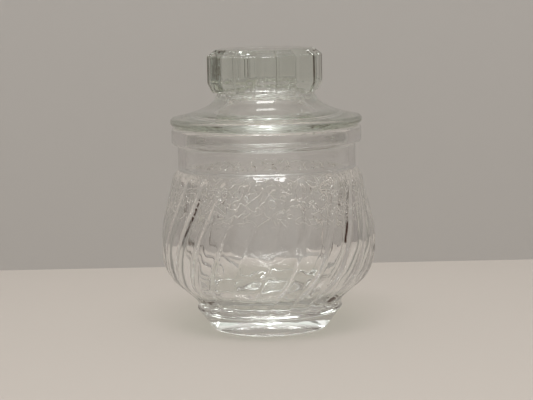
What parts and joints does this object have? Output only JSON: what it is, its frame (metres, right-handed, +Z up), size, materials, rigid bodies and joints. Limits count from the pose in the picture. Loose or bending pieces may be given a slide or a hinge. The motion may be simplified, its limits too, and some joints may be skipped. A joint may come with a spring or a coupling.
{
  "type": "lidded glass jar",
  "caption": "Small clear pressed-glass storage jar with leaning ribs, a plain neck and foot, and a loose glass lid with a faceted knob.",
  "frame": {"origin": "centre of the ring the jar stands on, at the lowest point of the foot", "axes": "+Z up along the jar's centre line, -Y towards the viewer, +X to the viewer's right"},
  "size_m": [0.0898, 0.0898, 0.117],
  "materials": {
    "clear_glass": "clear pressed soda-lime glass, faint green where thick, polished",
    "lid_glass": "clear pressed soda-lime glass, faint green where thick, polished"
  },
  "bodies": {
    "root": {"jar": "clear_glass", "lid": "lid_glass"}
  },
  "joints": []
}
